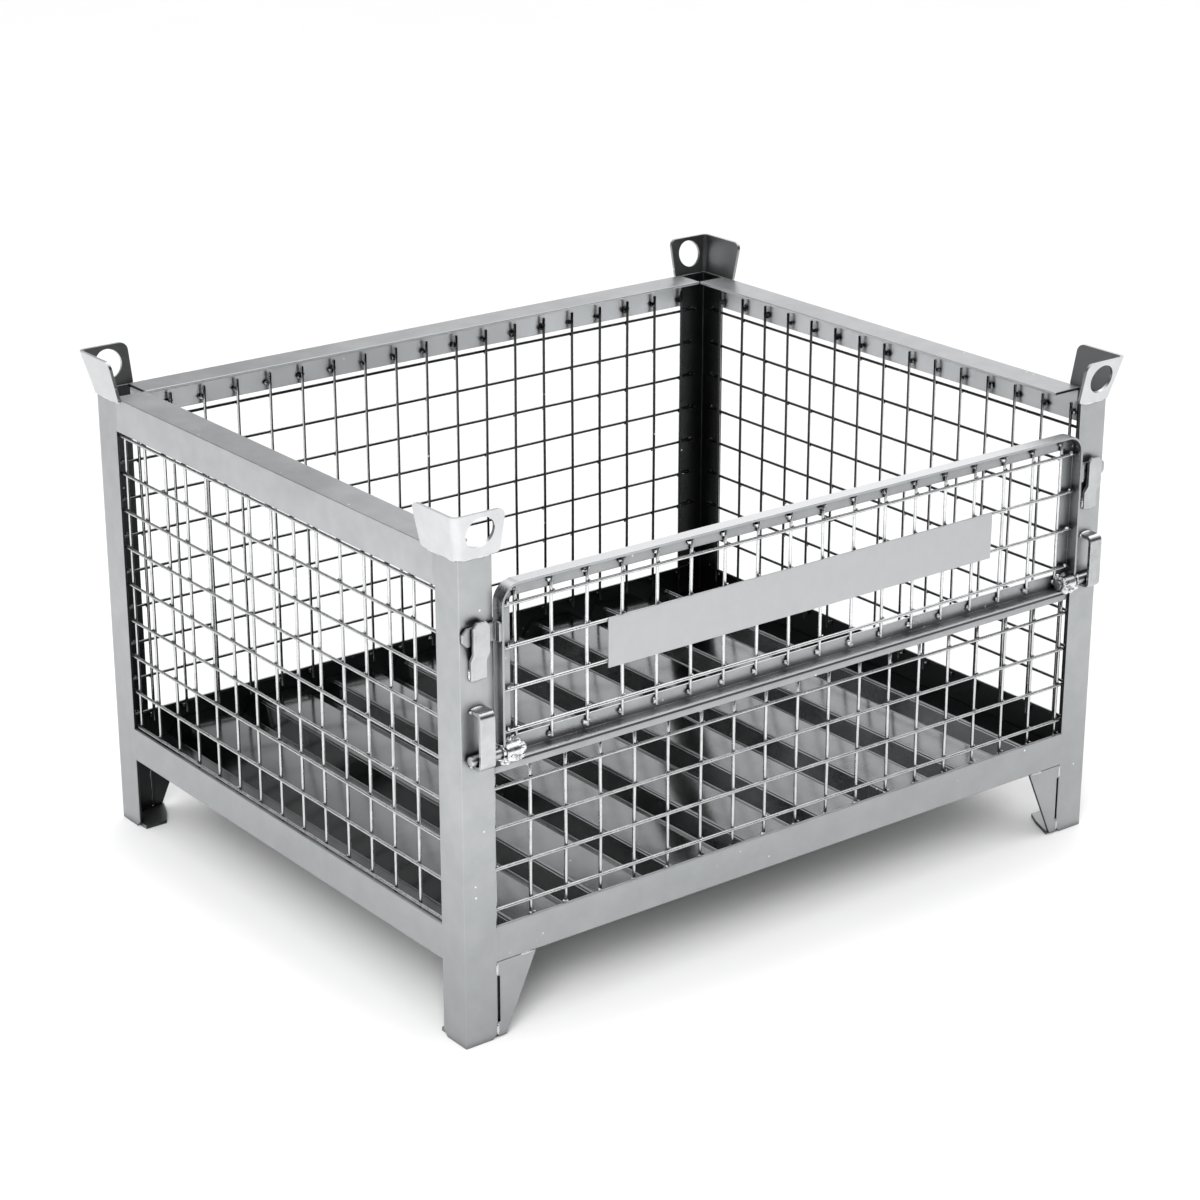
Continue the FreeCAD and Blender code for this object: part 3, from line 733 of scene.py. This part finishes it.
def fitting_welds(side):
    """Welds that hold a hook and a pin guide on their post."""
    hook_low, hook_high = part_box("hook_" + side)
    guide_low, guide_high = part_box("pin_guide_" + side)
    face = hook_high.y
    left, right, foot = hook_low.x, hook_high.x, hook_low.z
    runs = [
        ((left + 1 * MM, face - 1.2 * MM, foot), (right - 1 * MM, face - 1.2 * MM, foot),
         6 * MM, (0, -1, -0.9)),
        ((left, face - 1 * MM, foot + 1 * MM), (left, face - 1 * MM, foot + 15 * MM),
         4.5 * MM, (-1, -0.8, 0)),
        ((right, face - 1 * MM, foot + 1 * MM), (right, face - 1 * MM, foot + 10 * MM),
         4 * MM, (1, -0.8, 0)),
    ]
    left, right = guide_low.x, guide_high.x
    for z, up in ((guide_high.z, 1), (guide_low.z, -1)):
        runs.append(((left + 0.5 * MM, face - 1.4 * MM, z), (right - 0.5 * MM, face - 1.4 * MM, z),
                     6 * MM, (0, -0.9, up)))
    blobs = [((left - 0.5 * MM, face - 1.5 * MM, guide_high.z - 3 * MM), 2.6 * MM),
             ((left - 0.5 * MM, face - 1.5 * MM, guide_low.z + 3 * MM), 2.4 * MM)]
    beads_piece("weld_fittings_" + side, ROOT, runs, blobs)


def tab_welds(side, sx):
    """Beads over and under a tab, where it meets the flap's upright."""
    low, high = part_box("flap_tab_" + side)
    x = (high.x, low.x)[sx > 0] + sx * 2 * MM
    runs = []
    for z, up in ((high.z, 1), (low.z, -1)):
        runs.append(((x, low.y + 0.5 * MM, z), (x, high.y - 1 * MM, z), 4 * MM, (sx * 0.3, 0, up)))
    beads_piece("weld_tab_" + side, FLAP, runs)


def add_sleeve(bm, axis, start, end, bore, radius):
    """A short open tube along X with rounded ends, round a pin."""
    profile = ((0.0, bore), (0.0, radius * 0.88), (0.06, radius * 0.97), (0.14, radius),
               (0.86, radius), (0.94, radius * 0.97), (1.0, radius * 0.88), (1.0, bore))
    rings = [add_ring(bm, Vector((start + (end - start) * t, axis.y, axis.z)), Vector((0, 1, 0)), UP, r, 28)
             for t, r in profile]
    for first, second in zip(rings, rings[1:] + rings[:1]):
        join_rings(bm, first, second)


def saddle_weld(side, sx):
    """The heavy weld that wraps a pivot pin in the flap's bottom corner, melted into one lump."""
    pin_low, pin_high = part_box("flap_pin_" + side)
    saddle_low, saddle_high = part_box("pin_saddle_" + side)
    axis = (pin_low + pin_high) / 2
    radius = (pin_high.z - pin_low.z) / 2
    inner = (saddle_high.x, saddle_low.x)[sx > 0] - sx * 3 * MM
    outer = (saddle_low.x, saddle_high.x)[sx > 0] + sx * 1 * MM
    bm = bmesh.new()

    def round_pin(x, turn, reach):
        return Vector((x, axis.y + reach * math.cos(turn), axis.z + reach * math.sin(turn)))

    add_sleeve(bm, axis, inner, outer, radius + 0.3 * MM, radius + 3.4 * MM)
    front_count, top_count, ring_count = 26, 9, 12
    for k in range(front_count):
        x = inner + (outer - inner) * k / (front_count - 1)
        turn = math.radians(rng.uniform(208, 292))
        reach = radius + rng.uniform(2.4, 5.4) * MM
        add_blob(bm, round_pin(x, turn, reach), rng.uniform(2.4, 4.4) * MM, 0.35)
    cap = (2.2 * MM, radius + 1 * MM, radius + 1 * MM)
    add_blob(bm, Vector((inner - sx * 0.6 * MM, axis.y, axis.z)), cap, 0.1)
    for k in range(top_count):
        x = inner + (outer - inner) * k / (top_count - 1)
        centre = Vector((x, saddle_high.y - 1.5 * MM, axis.z + rng.uniform(5, 9) * MM))
        add_blob(bm, centre, rng.uniform(2.6, 4.2) * MM, 0.35)
    for k in range(ring_count):
        turn = math.radians(30 * k + rng.uniform(-8, 8))
        reach = radius + rng.uniform(0.5, 3.0) * MM
        add_blob(bm, round_pin(inner, turn, reach), rng.uniform(2.0, 3.6) * MM, 0.35)
        add_blob(bm, round_pin(outer + sx * 3.5 * MM, turn, reach), rng.uniform(1.8, 2.8) * MM, 0.35)
    saddle = new_piece("weld_saddle_" + side, bm, WELD, FLAP, ["pin_saddle_" + side])
    melt = saddle.modifiers.new("melt", "REMESH")
    melt.mode = "VOXEL"
    melt.voxel_size = 0.7 * MM
    melt.use_smooth_shade = True
    ease = saddle.modifiers.new("ease", "SMOOTH")
    ease.factor = 0.6
    ease.iterations = 4


for side, sx in SIDES:
    for end, sy in ENDS:
        corner_welds(end + "_" + side, sx, sy)
for side, sx in SIDES:
    fitting_welds(side)
for side, sx in SIDES:
    tab_welds(side, sx)
    saddle_weld(side, sx)


# ---------------------------------------------------------------- camera

CAMERA_AT = Vector((-2.1793, -2.8334, 1.6601))
CAMERA_TARGET = Vector((0.0, 0.0, 0.315))


def stand(obj, at, target):
    """Puts a camera or a light in the scene, looking at the target."""
    obj.location = at
    obj.rotation_mode = "QUATERNION"
    obj.rotation_quaternion = (Vector(target) - Vector(at)).to_track_quat("-Z", "Y")
    bpy.context.scene.collection.objects.link(obj)


camera_data = bpy.data.cameras.new("camera")
camera_data.sensor_width = 36.0
camera_data.lens = 88.0
camera = bpy.data.objects.new("camera", camera_data)
stand(camera, CAMERA_AT, CAMERA_TARGET)
bpy.context.scene.camera = camera


# ---------------------------------------------------------------- floor and light

HORIZON_DIM = 0.03
HORIZON_LIGHT = 1.05
SIDE_LIGHT = 0.3
DOME_LIGHT = 2.2
FLOOR_HALF = 40.0


def make_floor():
    mesh = bpy.data.meshes.new("studio_floor")
    plan = ((-1, -1), (1, -1), (1, 1), (-1, 1))
    mesh.from_pydata([(FLOOR_HALF * x, FLOOR_HALF * y, 0) for x, y in plan], [], [(0, 1, 2, 3)])
    floor = bpy.data.objects.new("studio_floor", mesh)
    bpy.context.scene.collection.objects.link(floor)
    material, tree, shader = new_material("studio_floor")
    shader.inputs["Roughness"].default_value = 0.9
    tint = blend_colour(
        tree, noise(tree, position(tree), 1.2), (0.86, 0.86, 0.86), (0.89, 0.89, 0.89)
    )
    tree.links.new(tint, shader.inputs["Base Color"])
    paint(floor, material)


def area_light(name, at, target, side, power):
    """A square soft light that the steel doesn't mirror."""
    data = bpy.data.lights.new(name, "AREA")
    data.shape = "RECTANGLE"
    data.size, data.size_y = side, side
    data.energy = power
    light = bpy.data.objects.new(name, data)
    light.visible_glossy = False
    stand(light, at, target)


def make_world():
    """Bright overhead dome, dimmer straight above, over a horizon that is light at the back
    right, faintly light at the back left and dim elsewhere.

    The steel mirrors that dome; what stands behind the object is plain white."""
    world = bpy.data.worlds.new("studio")
    bpy.context.scene.world = world
    world.use_nodes = True
    tree = world.node_tree
    background = tree.nodes["Background"]
    direction = tree.nodes.new("ShaderNodeTexCoord").outputs["Generated"]

    def towards(axis, low, high, to_low, to_high):
        return remap(tree, dot_product(tree, direction, axis), low, high, to_low, to_high)

    back_right = towards((0.74, 0.67, 0.0), 0.15, 0.95, HORIZON_DIM, HORIZON_LIGHT)
    back_right = combine(tree, "MULTIPLY", back_right, towards((1.0, 0.0, 0.0), 0.45, 0.57, 0.4, 1.0))
    back_left = towards((-0.6, 0.8, 0.0), 0.86, 0.96, 0.0, SIDE_LIGHT)
    dome = towards((0.0, 0.0, 1.0), 0.55, 0.85, 0.0, DOME_LIGHT)
    zenith = towards((0.0, 0.0, 1.0), 0.90, 0.98, 0.0, 0.55 * DOME_LIGHT)
    dome = combine(tree, "SUBTRACT", dome, zenith)
    mirrored = combine(tree, "ADD", combine(tree, "ADD", back_right, back_left), dome)
    seen = tree.nodes.new("ShaderNodeLightPath").outputs["Is Camera Ray"]
    tree.links.new(combine(tree, "MAXIMUM", mirrored, seen), background.inputs["Strength"])
    background.inputs["Color"].default_value = (1.0, 1.0, 1.0, 1.0)


bpy.context.scene.view_settings.view_transform = "Standard"
make_floor()
make_world()
area_light("key", at=(-3.0, -3.0, 2.4), target=(-0.7, -0.6, 0.0), side=2.2, power=180)
area_light("fill", at=(3.4, -2.6, 2.4), target=(0, 0, 0.3), side=2.0, power=8)
